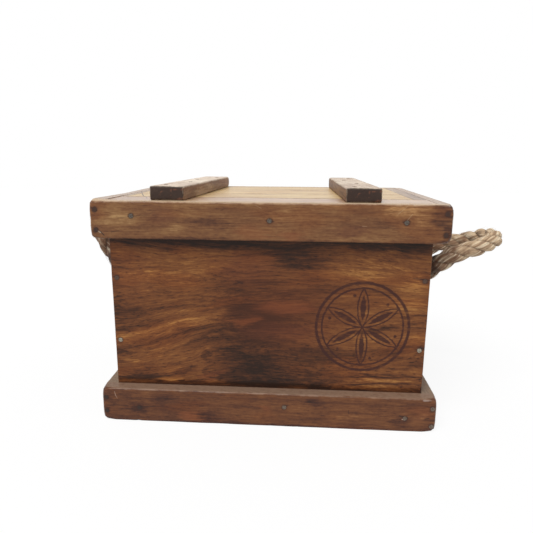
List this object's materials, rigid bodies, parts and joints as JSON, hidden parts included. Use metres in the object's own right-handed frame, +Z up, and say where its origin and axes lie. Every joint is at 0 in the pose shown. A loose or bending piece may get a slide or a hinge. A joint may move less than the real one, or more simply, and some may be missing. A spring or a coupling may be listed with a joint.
{
  "type": "wooden storage box",
  "caption": "Stained pine storage box with a plinth, a lift-off lid with a rim and two battens, and a rope handle at each end.",
  "frame": {"origin": "centre of the underside, on the surface that the box stands on", "axes": "+X towards the right end as seen from the front, +Y from the front to the back, +Z up"},
  "size_m": [0.5967, 0.3064, 0.3022],
  "materials": {
    "wall_pine": "stained and varnished pine, satin",
    "trim_pine": "dark stained pine, satin, worn at the edges",
    "lid_pine": "lighter stained pine, satin",
    "batten_pine": "stained pine, dark end grain, worn top",
    "floor_pine": "bare pine",
    "nail_steel": "dull steel nail heads",
    "rope": "laid natural fibre rope"
  },
  "bodies": {
    "box": {"front_wall": "wall_pine", "back_wall": "wall_pine", "left_wall": "wall_pine", "right_wall": "wall_pine", "floor_board_1": "floor_pine", "floor_board_2": "floor_pine", "floor_board_3": "floor_pine", "plinth_front": "trim_pine", "plinth_back": "trim_pine", "plinth_left": "trim_pine", "plinth_right": "trim_pine", "wall_nails": "nail_steel", "floor_nails": "nail_steel", "plinth_nails": "nail_steel", "left_rope_tails": "rope", "right_rope_tails": "rope", "left_rope_knots": "rope", "right_rope_knots": "rope"},
    "lid": {"lid_rim_front": "trim_pine", "lid_rim_back": "trim_pine", "lid_rim_left": "trim_pine", "lid_rim_right": "trim_pine", "lid_front_board": "lid_pine", "lid_left_strip": "lid_pine", "lid_right_strip": "lid_pine", "lid_plank_1": "lid_pine", "lid_plank_2": "lid_pine", "lid_plank_3": "lid_pine", "left_batten": "batten_pine", "right_batten": "batten_pine", "lid_rim_nails": "nail_steel", "batten_nails": "nail_steel"},
    "left_handle": {"left_rope_handle": "rope"},
    "right_handle": {"right_rope_handle": "rope"}
  },
  "joints": [
    {"name": "lid_lift", "type": "slide", "parent": "box", "child": "lid", "axis": [0, 0, 1], "range_m": [0, 0.12]},
    {"name": "left_handle_swing", "type": "hinge", "parent": "box", "child": "left_handle", "pos_m": [-0.2083, 0, 0.179], "axis": [0, 1, 0], "range_deg": [-110, 11]},
    {"name": "right_handle_swing", "type": "hinge", "parent": "box", "child": "right_handle", "pos_m": [0.2083, 0, 0.179], "axis": [0, -1, 0], "range_deg": [-100, 37]}
  ]
}
